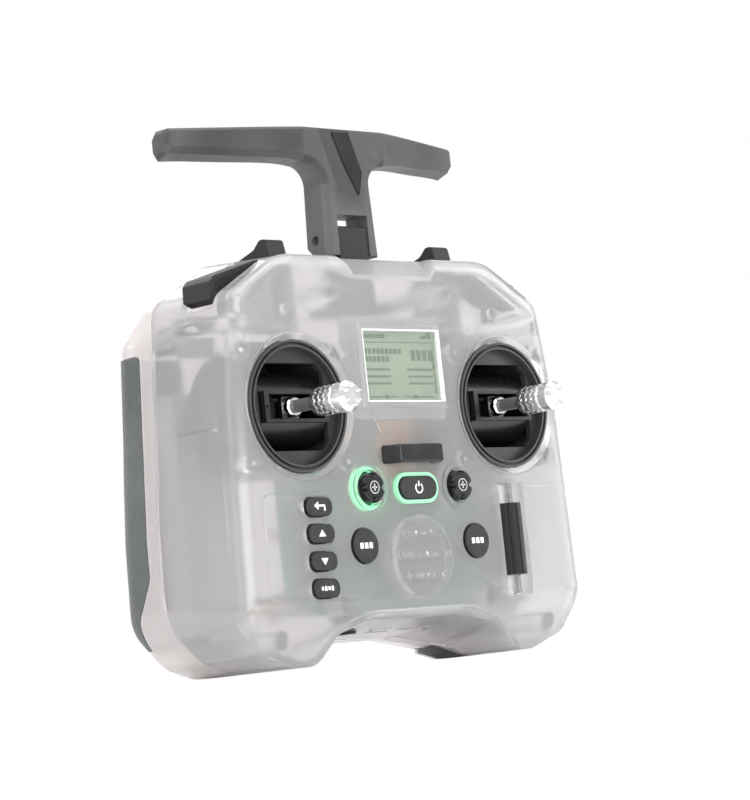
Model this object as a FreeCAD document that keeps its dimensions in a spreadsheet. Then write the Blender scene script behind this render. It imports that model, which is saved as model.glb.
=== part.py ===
import FreeCAD, Part
import math
import os
import re

from FreeCAD import Placement, Rotation, Vector

# Handheld radio transmitter controller, upright on its two bottom lobes.
# +X is the user's right when facing the front, +Y runs from the front to the back, +Z is up.
# Every depth "d" below is measured from the flat front face towards the back.

DOC = FreeCAD.newDocument("RadioController")
SHEET = DOC.addObject("Spreadsheet::Sheet", "Dims")

DIMENSIONS = {
    # case outline
    "face_y": -15.3,
    "face_height": 126.9,
    "case_height": 128.3,
    "face_half": 75.6,
    "half_width": 78.9,
    "arch_height": 12.5,
    "arch_drop": 4.9,
    "lip_depth": 8.0,
    "seam_depth": 35.0,
    "seam_gap": 0.2,
    "back_depth": 54.6,
    "trough_depth": 40.5,
    "wall": 2.2,
    "face_round": 5.5,
    "back_round": 8.0,
    # stick gimbals
    "gimbal_offset": 46.4,
    "gimbal_height": 79.1,
    "gimbal_opening": 20.7,
    "gimbal_axis": 14.0,
    "drum_radius": 11.8,
    "drum_length": 27.0,
    "stick_reach": 38.0,
    # display
    "screen_half": 17.4,
    "screen_low": 80.1,
    "screen_high": 103.1,
    # keys
    "key_column": 43.5,
    "key_length": 11.0,
    "key_tall": 5.7,
    "key_proud": 1.3,
    "round_key_offset": 25.1,
    "round_key_height": 35.5,
    "round_key_radius": 5.5,
    "trim_offset": 19.9,
    "trim_height": 53.3,
    "trim_radius": 4.75,
    "power_height": 52.9,
    "power_length": 16.5,
    "power_tall": 7.1,
    "board_depth": 9.0,
    # scroll roller
    "roller_offset": 44.2,
    "roller_axis": 3.6,
    "roller_height": 35.6,
    "roller_radius": 5.5,
    "roller_length": 23.0,
    # batteries
    "cell_offset": 61.5,
    "cell_depth": 37.8,
    "cell_radius": 9.1,
    "cell_length": 65.0,
    "cell_bottom": 19.0,
    # antenna
    "hinge_depth": 21.4,
    "hinge_height": 134.7,
    "antenna_top": 170.4,
    "antenna_half": 64.5,
    "antenna_front": 15.5,
    "antenna_thick": 9.6,
    "stem_half": 10.4,
    "stem_foot": 11.8,
    "root_half": 18.0,
    # top switches
    "lever_offset": 37.3,
    "lever_width": 7.4,
    "lever_pivot_depth": 19.0,
    "lever_pivot_height": 118.0,
    "dial_depth": 38.2,
    "dial_height": 106.0,
}

for row, (alias, value) in enumerate(DIMENSIONS.items(), start=1):
    SHEET.set(f"A{row}", alias)
    SHEET.set(f"B{row}", str(value))
    SHEET.setAlias(f"B{row}", alias)
DOC.recompute()

NODES = []
COUNT = {}


def unique(name):
    """A document-wide unique object name."""
    COUNT[name] = COUNT.get(name, 0) + 1
    return f"{name}_{COUNT[name]}" if COUNT[name] > 1 else name


def linked(expression):
    """The expression with every dimension name pointing at the spreadsheet."""
    def point(match):
        word = match.group(0)
        return f"Dims.{word}" if word in DIMENSIONS else word
    return re.sub(r"[A-Za-z_]+", point, str(expression))


def number(expression):
    """The present value of an expression of the driving dimensions."""
    if isinstance(expression, (int, float)):
        return float(expression)
    return float(SHEET.evalExpression(linked(expression)))


def bind(item, prop, expression):
    """Set a property from a number, or tie it to the spreadsheet."""
    if isinstance(expression, (int, float)):
        expression = repr(round(float(expression), 6))
    item.setExpression(prop, linked(expression))


def place(item, across, depth, height, turn=None):
    """Put an item at across, depth behind the face and height."""
    item.Placement = Placement(Vector(), turn or Rotation())
    bind(item, "Placement.Base.x", across)
    bind(item, "Placement.Base.y", f"face_y + ({depth})")
    bind(item, "Placement.Base.z", height)
    return item


ALONG = {
    "x": Rotation(Vector(0, 1, 0), 90),
    "y": Rotation(Vector(1, 0, 0), -90),
    "z": Rotation(),
}


def box(name, across, depth, height):
    """A box between two values of across, depth and height."""
    item = DOC.addObject("Part::Box", unique(name))
    for prop, (low, high) in zip(("Length", "Width", "Height"), (across, depth, height)):
        bind(item, prop, f"({high}) - ({low})")
    return place(item, across[0], depth[0], height[0])


def rod(name, axis, start, radius, length):
    """A cylinder from its start point (across, depth, height) along an axis."""
    item = DOC.addObject("Part::Cylinder", unique(name))
    bind(item, "Radius", radius)
    bind(item, "Height", length)
    return place(item, *start, turn=ALONG[axis])


def cone(name, axis, start, first, last, length):
    """A truncated cone from its start point along an axis."""
    item = DOC.addObject("Part::Cone", unique(name))
    bind(item, "Radius1", first)
    bind(item, "Radius2", last)
    bind(item, "Height", length)
    return place(item, *start, turn=ALONG[axis])


def fuse(name, *items):
    item = DOC.addObject("Part::MultiFuse", unique(name))
    item.Shapes = list(items)
    return item


def cut(name, base, *tools):
    item = DOC.addObject("Part::Cut", unique(name))
    item.Base = base
    item.Tool = tools[0] if len(tools) == 1 else fuse(name + "_tools", *tools)
    return item


def common(name, *items):
    item = DOC.addObject("Part::MultiCommon", unique(name))
    item.Shapes = list(items)
    return item


def group(name, items):
    item = DOC.addObject("Part::Compound", unique(name))
    item.Links = list(items)
    return item


def mirrored(name, source):
    """The same piece on the other side of the centre plane."""
    item = DOC.addObject("Part::Mirroring", unique(name))
    item.Source = source
    item.Base = Vector(0, 0, 0)
    item.Normal = Vector(1, 0, 0)
    return item


def pick_edges(source, wanted):
    """Numbers of the edges of a shape that answer a test."""
    DOC.recompute()
    return [i for i, edge in enumerate(source.Shape.Edges, start=1) if wanted(edge)]


def rounded(name, source, radius, wanted):
    item = DOC.addObject("Part::Fillet", unique(name))
    item.Base = source
    item.Edges = [(i, number(radius), number(radius)) for i in pick_edges(source, wanted)]
    return item


def bevelled(name, source, size, wanted):
    item = DOC.addObject("Part::Chamfer", unique(name))
    item.Base = source
    item.Edges = [(i, number(size), number(size)) for i in pick_edges(source, wanted)]
    return item


def runs_along(axis):
    """Test for straight edges parallel to an axis."""
    line = {"x": Vector(1, 0, 0), "y": Vector(0, 1, 0), "z": Vector(0, 0, 1)}[axis]

    def wanted(edge):
        ends = [vertex.Point for vertex in edge.Vertexes]
        if len(ends) != 2 or edge.Curve.TypeId != "Part::GeomLine":
            return False
        return abs((ends[1] - ends[0]).normalize().dot(line)) > 0.999
    return wanted


def lies_at(axis, position):
    """Test for edges that lie wholly in a plane across an axis."""
    where = number(position)

    def wanted(edge):
        low = getattr(edge.BoundBox, axis.upper() + "Min")
        high = getattr(edge.BoundBox, axis.upper() + "Max")
        return abs(low - where) < 1e-4 and abs(high - where) < 1e-4
    return wanted


def depth_of(depth):
    return f"face_y + ({depth})"


def corner_arcs(corners):
    """Lines and arcs of a closed outline whose corners are (u, v, radius)."""
    points = [Vector(number(u), number(v), 0) for u, v, r in corners]
    radii = [number(r) for u, v, r in corners]
    arrive, leave, arcs = [], [], []
    for i, here in enumerate(points):
        back = (points[i - 1] - here).normalize()
        ahead = (points[(i + 1) % len(points)] - here).normalize()
        half = back.getAngle(ahead) / 2
        reach = radii[i] / math.tan(half)
        arrive.append(here + back * reach)
        leave.append(here + ahead * reach)
        middle = here
        if radii[i] > 0:
            towards = (back + ahead).normalize()
            middle = here + towards * (radii[i] / math.sin(half) - radii[i])
        arcs.append(middle)
    edges = []
    for i in range(len(points)):
        j = (i + 1) % len(points)
        if (arrive[j] - leave[i]).Length > 1e-6:
            edges.append(Part.LineSegment(leave[i], arrive[j]))
        if radii[j] > 0:
            edges.append(Part.Arc(arrive[j], arcs[j], leave[j]))
    return edges


PLANES = {
    "front": (Rotation(Vector(1, 0, 0), 90), Vector(0, 1, 0)),
    "side": (Rotation(Vector(0, 1, 0), Vector(0, 0, 1), Vector(1, 0, 0), "XYZ"), Vector(1, 0, 0)),
    "plan": (Rotation(), Vector(0, 0, 1)),
}


def outline(name, plane, corners):
    """A sketch of an outline: front (x, z), side (depth, z) or plan (x, depth)."""
    sketch = DOC.addObject("Sketcher::SketchObject", unique(name))
    sketch.addGeometry(corner_arcs(corners), False)
    turn, direction = PLANES[plane]
    return place(sketch, 0, 0, 0, turn)


def extrude(name, plane, sketch, start, length):
    """A prism of a sketch, from start along the plane's own direction."""
    item = DOC.addObject("Part::Extrusion", unique(name))
    item.Base = sketch
    item.DirMode = "Custom"
    item.Dir = PLANES[plane][1]
    item.Solid = True
    bind(item, "LengthFwd", length)
    axis = {"front": "y", "side": "x", "plan": "z"}[plane]
    bind(item, "Placement.Base." + axis, start)
    return item


def prism(name, plane, corners, start, length):
    return extrude(name, plane, outline(name + "_outline", plane, corners), start, length)


def loft(name, sections, ruled):
    """A solid drawn through a row of outlines."""
    item = DOC.addObject("Part::Loft", unique(name))
    item.Sections = sections
    item.Solid = True
    item.Ruled = ruled
    return item


def inset(name, sketch, amount):
    """The same outline moved inwards."""
    item = DOC.addObject("Part::Offset2D", unique(name))
    item.Source = sketch
    item.Join = "Arc"
    bind(item, "Value", f"-({amount})")
    return item


def node(name, item):
    """Name a finished piece; the label names its file."""
    item.Label = name
    NODES.append(item)
    return item


def pair(name, item):
    """A left-hand piece and its mirror image on the right."""
    node("left_" + name, item)
    return node("right_" + name, mirrored("right_" + name + "_mirror", item))


def both_sides(corners):
    """A half outline on the +X side continued on the -X side."""
    other = [(f"-({u})", v, r) for u, v, r in reversed(corners) if str(u) != "0"]
    return list(corners) + other


# ---------------------------------------------------------------- case shells

FACE_CORNERS = both_sides([
    ("45.7", "face_height", "18"),
    ("68.4", "face_height - 13.2", "7"),
    ("face_half - 2.4", "80", "60"),
    ("face_half", "16", "8"),
    ("66", "4.8", "8"),
    ("52", "0", "10"),
    ("45.5", "0", "8"),
    ("36", "arch_height - 3.5", "12"),
    ("22", "arch_height", "20"),
])

SEAM_CORNERS = both_sides([
    ("47", "case_height", "18"),
    ("72.1", "case_height - 14.4", "9"),
    ("half_width - 0.6", "42", "60"),
    ("half_width", "16", "14"),
    ("69", "4", "9"),
    ("58", "0", "12"),
    ("50", "0", "10"),
    ("38", "3.2", "30"),
    ("14", "arch_height - arch_drop", "20"),
])

SIDE_PROFILE = [
    ("20", "-4", "0"),
    ("back_depth - 8.6", "-4", "0"),
    ("back_depth - 6.3", "8", "10"),
    ("back_depth", "23", "10"),
    ("back_depth", "36", "20"),
    ("back_depth - 4.2", "72", "60"),
    ("back_depth - 3.7", "101.5", "4"),
    ("seam_depth + 1.5", "114.5", "4"),
    ("seam_depth + 1.5", "case_height + 5", "0"),
    ("20", "case_height + 5", "0"),
]


def chin(name, shift):
    """Wedge that tilts the lower edge of the face backwards."""
    corners = [
        (f"-3 + {shift}", "30", "0"),
        (f"-3 + {shift}", "-6", "0"),
        (f"6.2 + {shift}", "-6", "0"),
        (f"{shift}", "19", "0"),
    ]
    return prism(name, "side", corners, "-half_width", "2 * half_width")


def brow(name, shift):
    """Sloping dip in the middle of the top edge of the face."""
    low = f"face_height - 8.7 - 1.22 * {shift}"
    high = f"face_height + 3.1 - 1.22 * {shift}"
    slope = prism(name + "_slope", "side", [
        ("-3", low, "0"), ("14", high, "0"), ("14", "face_height + 6", "0"),
        ("-3", "face_height + 6", "0")], -40, 80)
    ends = prism(name + "_ends", "front", both_sides([
        (f"13 + {shift} / 3", "face_height - 14", "0"),
        (f"26 + {shift}", "face_height + 6", "0")]), -3, 20)
    return common(name, slope, ends)


def drafted(name, gap):
    """The case from the face to the seam, a gap inside its outer surface."""
    ends = []
    for label, corners, depth in (("face", FACE_CORNERS, "lip_depth"), ("seam", SEAM_CORNERS, "seam_depth")):
        sketch = outline(f"{name}_{label}", "front", corners)
        bind(sketch, "Placement.Base.y", depth_of(depth))
        ends.append(inset(f"{name}_{label}_inset", sketch, gap) if gap else sketch)
    flare = loft(name, ends, True)
    lip = extrude(name + "_lip", "front", ends[0], "0", f"lip_depth - {gap}")
    bind(lip, "Placement.Base.y", f"{gap} - lip_depth")
    lip = rounded(name + "_round", lip, f"face_round - {gap}", lies_at("y", depth_of(gap)))
    return cut(name + "_trimmed", fuse(name + "_solid", lip, flare), chin(name + "_chin", gap),
               brow(name + "_brow", gap))


def trough(name, grow):
    """Hollow between the two grips at the back of the case."""
    corners = [
        (f"-38 - {grow}", f"trough_depth - {grow}", "4"),
        (f"38 + {grow}", f"trough_depth - {grow}", "4"),
        (f"47 + {grow}", "back_depth + 3", "0"),
        (f"-47 - {grow}", "back_depth + 3", "0"),
    ]
    return prism(name, "plan", corners, "-6", "case_height + 12")


seam_outline = outline("seam_outline", "front", SEAM_CORNERS)
side_outline = outline("side_outline", "side", SIDE_PROFILE)


def backed(name, gap):
    """The case from the seam to the back, a gap inside its outer surface."""
    front, side = seam_outline, side_outline
    if gap:
        front = inset(name + "_front", seam_outline, gap)
        side = inset(name + "_side", side_outline, gap)
    block = extrude(name, "front", front, "seam_depth", f"back_depth - seam_depth - {gap}")
    block = rounded(name + "_round", block, f"back_round - {gap}",
                    lies_at("y", depth_of(f"back_depth - {gap}")))
    profile = extrude(name + "_profile", "side", side, "-half_width - 2", "2 * half_width + 4")
    return common(name + "_shape", block, profile)


def seam_zone(name, shift):
    """Everything in front of the joint line between the two shells."""
    corners = [
        ("-10", "-8", "0"),
        (f"30.6 + {shift}", "-8", "0"),
        (f"30.6 + {shift}", "3", "20"),
        (f"seam_depth + {shift}", "23", "20"),
        (f"seam_depth + {shift}", "case_height + 8", "0"),
        ("-10", "case_height + 8", "0"),
    ]
    return prism(name, "side", corners, "-half_width - 4", "2 * half_width + 8")


def grip_region(name, gap):
    """Block that holds one grip cover, grown by a gap."""
    corners = [
        (f"41 - {gap}", f"100 + {gap}", "2"),
        (f"39.6 - {gap}", "31", "6"),
        (f"45.8 - {gap}", "18.5", "4"),
        (f"47 - {gap}", f"10 - {gap}", "0"),
        ("back_depth + 4", f"8 - {gap}", "0"),
        ("back_depth + 4", f"100 + {gap}", "0"),
    ]
    return prism(name, "side", corners, "-half_width - 5", f"half_width + 5 - 48.6 + {gap}")


case_back = cut("case_back", backed("back_block", 0), trough("trough_outer", 0))
case_outer = fuse("case_outer", drafted("front_block", 0), case_back)
front_space = drafted("front_core", "wall")
back_space = backed("back_core", "wall")
case_space = fuse("case_space", front_space, cut("back_hollow_space", back_space,
                                                 trough("trough_inner", "wall")))
front_skin = common("front_skin", case_outer, seam_zone("front_zone", "-seam_gap"))
back_skin = cut("back_skin", case_outer, seam_zone("back_zone", "0"))


# ---------------------------------------------------------------- openings in the front shell

def slab(name, across, height, half_long, half_tall, depths, corner):
    """Rounded rectangle through a range of depths, centred at (across, height)."""
    corners = [
        (f"{across} - ({half_long})", f"{height} - ({half_tall})", corner),
        (f"{across} + ({half_long})", f"{height} - ({half_tall})", corner),
        (f"{across} + ({half_long})", f"{height} + ({half_tall})", corner),
        (f"{across} - ({half_long})", f"{height} + ({half_tall})", corner),
    ]
    return prism(name, "front", corners, depths[0], f"({depths[1]}) - ({depths[0]})")


KEY_HEIGHTS = [48.0, 39.8, 31.4, 23.1]
KEY_NAMES = ["return_key", "page_up_key", "page_down_key", "telemetry_key"]
SCREW_POSTS = [(66.5, 105.0), (60.0, 8.6), (26.0, 115.0), (32.5, 18.2)]
LOCATING_PINS = [(46.4, 109.2), (27.6, 97.0)]
RIB_LINES = [(102, 7, 30), (73.5, 12, 26.5), (39, 17, 26.5), (19, 4, 26.5)]
GIMBAL_SCREWS = [(-20.0, -17.2), (20.0, -17.2), (20.0, 17.2), (-20.0, 17.2)]
KEY_PANEL = [(-66, 52.5, 3), (-42, 52.5, 12), (-15.2, 38.5, 5), (-16.2, 31.5, 5), (-34, 19.8, 14),
             (-66, 19.8, 3)]
SPEAKER_ROWS = [(38.8, 5, 0.0), (32.1, 6, -1.2), (25.4, 5, 0.0)]


def front_openings():
    """Everything that is cut through the front shell."""
    tools = []
    for side in ("-", ""):
        x = f"{side}gimbal_offset"
        tools.append(rod("gimbal_hole", "y", (x, -2, "gimbal_height"), "gimbal_opening", 6))
        tools.append(cone("gimbal_rim", "y", (x, -0.51, "gimbal_height"),
                          "gimbal_opening + 1.6", "gimbal_opening", 1.6))
        for across, up in GIMBAL_SCREWS:
            tools.append(rod("gimbal_pilot", "y", (f"{x} + {across}", 2.4, f"gimbal_height + {up}"),
                             0.9, 3))
        tools.append(rod("trim_hole", "y", (f"{side}trim_offset", -3, "trim_height"), 5.7, 8))
        tools.append(rod("round_key_hole", "y",
                         (f"{side}round_key_offset", -3, "round_key_height"), 5.85, 8))
        for across, up in SCREW_POSTS:
            tools.append(rod("post_pilot", "y", (f"{side}{across}", 20, up), 1.1, 16))
        tools.append(rod("trim_lug_bore", "z", (f"{side}trim_offset", 6.4, "trim_height - 7.4"),
                         0.66, 14.8))
        tools.append(box("lever_slot", (f"{side}lever_offset - 4.2", f"{side}lever_offset + 4.2"),
                         (9.0, 31.0), (112, "case_height + 4")))
        tools.append(box("hook_hole", (f"{side}11 - 0.85", f"{side}11 + 0.85"), (-1, 3), (61.8, 65.2)))
    for height in KEY_HEIGHTS:
        tools.append(slab("key_hole", "-key_column", height, "key_length / 2 + 0.35",
                          "key_tall / 2 + 0.35", (-2, 4), 2.6))
    tools.append(slab("power_hole", 0, "power_height", "power_length / 2 + 1.45",
                      "power_tall / 2 + 1.45", (-4, 4), 4.9))
    tools.append(box("screen_hole", ("-screen_half", "screen_half"), (-2, 4),
                     ("screen_low", "screen_high")))
    tools.append(box("roller_slot", ("roller_offset - 6", "roller_offset + 6"), (-2, 4),
                     ("roller_height - 18.2", "roller_height + 18.2")))
    tools.append(box("roller_relief", ("roller_offset - 4.9", "roller_offset + 4.9"), (1.8, 9),
                     ("roller_height - 20.2", "roller_height + 20.2")))
    tools.append(box("antenna_slot", (-6.6, 6.6), (15.4, 25.6), (110, "case_height + 4")))
    for side in (-1, 1):
        corners = [(side * 70.3, 110.0, 0), (side * 46.2, 116.6, 0), (side * 46.2, 132, 0),
                   (side * 70.3, 132, 0)]
        tools.append(prism("shoulder_slot", "front", corners, 10.1, 13.0))
    for height, count, shift in SPEAKER_ROWS:
        for i in range(count):
            tools.append(rod("sound_hole", "y", (shift + (i - (count - 1) / 2) * 3.6, -4, height),
                             0.65, 8))
    tools.append(rod("sound_hole", "y", (12.6, -4, SPEAKER_ROWS[1][0]), 0.9, 8))
    tools.append(box("data_port_hole", (-4.8, 4.8), (20, 24.0), (-1, 14)))
    tools.append(rod("jack_hole", "z", (-14.5, 22, 2), 3.3, 12))
    tools.append(box("card_hole", (9, 21.5), (20.6, 23.4), (-1, 14)))
    return tools


def front_details():
    """Bosses, ribs and raised trim of the front shell."""
    pieces = []
    for side in ("-", ""):
        x = f"{side}gimbal_offset"
        for across, up in GIMBAL_SCREWS:
            pieces.append(rod("gimbal_boss", "y",
                              (f"{x} + {across}", 1.5, f"gimbal_height + {up}"), 2.9, 2.6))
        for across, up in SCREW_POSTS:
            pieces.append(rod("post", "y", (f"{side}{across}", 1.5, up), 3.1, 32.4))
        for across, up in LOCATING_PINS:
            pieces.append(rod("locating_pin", "y", (f"{side}{across}", 1.5, up), 1.7, 2.3))
        rim = rod("gimbal_collar", "y", (x, -0.5, "gimbal_height"), "gimbal_opening + 2.3", 2.0)
        pieces.append(rounded("gimbal_collar_round", rim, 0.4, lies_at("y", depth_of(-0.5))))
        pieces.append(rod("trim_collar", "y", (f"{side}trim_offset", -0.5, "trim_height"), 7.2, 3.6))
        for low in (-7.0, 5.4):
            pieces.append(box("trim_lug", (f"{side}trim_offset - 1.2", f"{side}trim_offset + 1.2"),
                              (1.5, 7.4), (f"trim_height + {low}", f"trim_height + {low + 1.6}")))
        for height, near, far in RIB_LINES:
            x_low, x_high = ((-76.5, -68.5), (68.5, 76.5))[side == ""]
            pieces.append(box("side_rib", (x_low, x_high), (near, far), (height - 0.6, height + 0.6)))
    mound = rod("speaker_mound", "y", (0, -1.6, 31.2), 13.6, 3.2)
    pieces.append(rounded("speaker_mound_round", mound, 1.4, lies_at("y", depth_of(-1.6))))
    for height, count, shift in SPEAKER_ROWS:
        half = (count - 1) / 2 * 3.6 + 2.0
        pieces.append(slab("speaker_pill", shift, height, half, 1.75, (-2.1, 0), 1.7))
    frame = box("screen_frame", ("-screen_half - 1.9", "screen_half + 1.9"), (-0.9, 1),
                ("screen_low - 1.9", "screen_high + 1.9"))
    pieces.append(bevelled("screen_frame_bevel", frame, 0.7, lies_at("y", depth_of(-0.9))))
    panel = prism("key_panel", "front", KEY_PANEL, -0.35, 1.5)
    panel = bevelled("key_panel_bevel", panel, 0.3, lies_at("y", depth_of(-0.35)))
    pieces += [panel, mirrored("roller_panel", panel)]
    ledge = [(-17, 77.9, 0), (-12.5, 70.3, 1.5), (12.5, 70.3, 1.5), (17, 77.9, 0)]
    pieces.append(prism("screen_ledge", "front", ledge, -0.45, 1.5))
    return pieces


def make_front_shell():
    hollow = cut("front_hollow", front_skin, case_space)
    details = common("front_details_inside", fuse("front_details", *front_details()),
                     fuse("front_limits", front_skin, box("front_air", (-71, 71), (-4, 0.5), (19.5, 120))))
    whole = fuse("front_whole", hollow, details)
    return node("front_shell", cut("front_shell_cut", whole, *front_openings()))


make_front_shell()


# ---------------------------------------------------------------- rear shell and its covers

def lobe_pad(name):
    """Thin patch let into the inner underside of the lobes."""
    zone = common(name + "_zone", back_skin, box(name + "_block", (34, 56), (32.5, 45), (-1, 7.5)))
    core = extrude(name + "_core", "front", inset(name + "_inset", seam_outline, 0.9), 30, 25)
    return cut(name, zone, core)


def make_lobe_pads():
    pad = lobe_pad("pad")
    return node("lobe_pads", group("pad_set", [pad, mirrored("pad_twin", pad)]))


def make_rear_shell():
    pieces = [cut("back_hollow", back_skin, case_space)]
    pad = lobe_pad("pad_seat")
    tools = [pad, mirrored("pad_seat_twin", pad)]
    for side in ("-", ""):
        for across, up in SCREW_POSTS:
            pieces.append(rod("back_post", "y", (f"{side}{across}", 34.2, up), 3.5, 20))
            tools.append(rod("back_screw_hole", "y", (f"{side}{across}", 33, up), 1.5, 20))
            tools.append(rod("back_screw_sink", "y", (f"{side}{across}", 35.8, up), 2.6, 24))
    pieces.append(box("bay_tub", (-20.6, 20.6), (26, 38.6), (42.4, 97.6)))
    tools.append(box("bay_space", (-19, 19), (27.6, 45), (44, 96)))
    tools.append(grip_region("grip_gap", 0.3))
    tools.append(mirrored("grip_gap_right", grip_region("grip_gap_twin", 0.3)))
    tools.append(rod("momentary_hole", "y", (-57, 36, 104.5), 3.95, 20))
    tools.append(box("dial_slot", (53.9, 60.1), (33, 54), (97.8, 114.2)))
    tools.append(box("charge_port_hole", (-4.8, 4.8), ("trough_depth - 4", "trough_depth + 4"),
                     (13.4, 17.0)))
    whole = common("back_trimmed", fuse("back_whole", *pieces), fuse(
        "back_limits", back_skin, box("bay_room", (-22, 22), (20, 36), (40, 100)),
        common("post_room", case_space, box("post_limit", (-72, 72), (34, 56), (4, 122)))))
    return node("rear_shell", cut("rear_shell_cut", whole, *tools))


def make_grip_covers():
    """Rubber skins over the grips, with cross grooves down the back."""
    core = extrude("groove_core", "side", inset("groove_inset", side_outline, 0.5), "-half_width",
                   "2 * half_width")
    for side, sign in (("left", -1), ("right", 1)):
        skin = cut("grip_hollow", back_skin, case_space)
        zone = grip_region("grip_zone", 0)
        if sign > 0:
            zone = mirrored("grip_zone_right", zone)
        across = sorted((sign * 54, sign * 70))
        bars = [box("groove_bar", across, (44, "back_depth + 2"), (35 + i * 5.2, 36.6 + i * 5.2))
                for i in range(11)]
        grooves = cut("grip_grooves", group("groove_bars", bars), core)
        node(side + "_grip_cover", cut("grip_cover_cut", common("grip_skin", skin, zone), grooves))


def make_bay_cover():
    plate = box("bay_plate", (-18.7, 18.7), (38.6, 40.3), (44.3, 95.7))
    plate = rounded("bay_plate_round", plate, 2.0, runs_along("y"))
    ribs = [box("bay_rib", (-14, 14), (40.2, 41.0), (52 + i * 5, 54 + i * 5)) for i in range(7)]
    latch = box("bay_latch", (-5, 5), (40.2, 41.4), (89.5, 92.5))
    return node("module_bay_cover", fuse("bay_cover", plate, latch, *ribs))


make_rear_shell()
make_lobe_pads()
make_grip_covers()
make_bay_cover()


# ---------------------------------------------------------------- stick gimbals

def make_gimbal_housing():
    x, z = "-gimbal_offset", "gimbal_height"
    solid = [
        rod("bezel_ring", "y", (x, 0.4, z), "gimbal_opening - 0.3", 4.6),
        slab("bezel_flange", x, z, 21.9, 20, (4.2, 5.8), 5.5),
        rod("cup", "y", (x, 4.8, z), 20.6, 22.0),
    ]
    for side in (-1, 1):
        solid.append(rod("sensor_can", "x", (f"{x} + ({side * 21.6 - 1.5})", "gimbal_axis", z), 5.2, 3.0))
    window = box("drum_window", (f"{x} - 14.1", f"{x} + 14.1"), (0, 8), (f"{z} - 13.5", f"{z} + 13.5"))
    tools = [
        rod("bezel_dish", "y", (x, 0, z), 18.2, 3.2),
        cut("bezel_groove", rod("groove_outer", "y", (x, 0, z), 19.7, 1.4),
            rod("groove_inner", "y", (x, -1, z), 18.8, 4)),
        rod("cup_space", "y", (x, 5.0, z), 19.0, 20.4),
        bevelled("drum_window_bevel", window, 3.0, runs_along("y")),
        rod("axle_bore", "x", (f"{x} - 21.4", "gimbal_axis", z), 2.08, 42.8),
    ]
    for across, up in GIMBAL_SCREWS:
        tools.append(rod("flange_hole", "y", (f"{x} + {across}", 3, f"{z} + {up}"), 1.3, 5))
    return pair("gimbal_housing", cut("gimbal_housing_cut", fuse("housing_solid", *solid), *tools))


def make_gimbal_drum():
    x, z = "-gimbal_offset", "gimbal_height"
    half = "drum_length / 2"
    shell = cut("drum_shell",
                rod("drum_outer", "x", (f"{x} - {half}", "gimbal_axis", z), "drum_radius", "drum_length"),
                rod("drum_inner", "x", (f"{x} - 12.3", "gimbal_axis", z), "drum_radius - 1.2", 24.6),
                box("drum_back", (f"{x} - 20", f"{x} + 20"), ("gimbal_axis + 4", "gimbal_axis + 20"),
                    (f"{z} - 20", f"{z} + 20")))
    solid = [shell,
             box("slot_frame", (f"{x} - 13.35", f"{x} + 13.35"),
                 ("gimbal_axis - drum_radius - 0.9", "gimbal_axis - drum_radius + 1.6"),
                 (f"{z} - 4.85", f"{z} + 4.85"))]
    for side in (-1, 1):
        start = f"{x} + ({side * 15.9 - 3.1})"
        solid.append(rod("drum_axle", "x", (start, "gimbal_axis", z), 2.0, 6.2))
    tools = [
        box("stick_slot", (f"{x} - 11.45", f"{x} + 11.45"), (-3, 9), (f"{z} - 3.8", f"{z} + 3.8")),
        rod("stick_bore", "z", (x, "gimbal_axis", f"{z} - 14"), 1.58, 28),
        rod("frame_pin", "y", (f"{x} - 12.5", -2, z), 0.45, 4.5),
    ]
    return pair("gimbal_drum", cut("gimbal_drum_cut", fuse("drum_solid", *solid), *tools))


def make_stick():
    """Hub, slider plate, ring nut and threaded shaft of one stick."""
    x, z = "-gimbal_offset", "gimbal_height"

    def ahead(radius):
        return f"gimbal_axis - ({radius})"
    hub = slab("stick_hub", x, z, 3.6, 3.6, (ahead(3.6), ahead(-3.6)), 1.2)
    arm = box("stick_arm", (f"{x} - 2.4", f"{x} + 2.4"), (ahead(8.2), ahead(3)),
              (f"{z} - 2.4", f"{z} + 2.4"))
    plate = slab("stick_plate", x, z, 3.5, 3.3, (ahead(9.6), ahead(7.9)), 0.7)
    shaft = rod("stick_shaft", "y", (x, ahead(23), z), 2.0, 14)
    axle = rod("stick_axle", "z", (x, "gimbal_axis", f"{z} - 11.5"), 1.5, 23)
    threads = []
    for i in range(11):
        ring = DOC.addObject("Part::Torus", unique("thread"))
        bind(ring, "Radius1", 2.12)
        bind(ring, "Radius2", 0.28)
        place(ring, x, ahead(12.8 + i * 0.75), z, ALONG["y"])
        threads.append(ring)
    body = fuse("stick_solid", hub, arm, plate, axle, shaft)
    return pair("stick", cut("stick_cut", body, *threads))


def make_stick_nut():
    x, z = "-gimbal_offset", "gimbal_height"
    ring = rod("nut_ring", "y", (x, "gimbal_axis - 12.2", z), 3.2, 2.6)
    ring = bevelled("nut_bevel", ring, 0.5, lies_at("y", depth_of("gimbal_axis - 12.2")))
    bore = rod("nut_bore", "y", (x, "gimbal_axis - 12.5", z), 2.0, 3.2)
    return pair("stick_nut", cut("stick_nut_cut", ring, bore))


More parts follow.
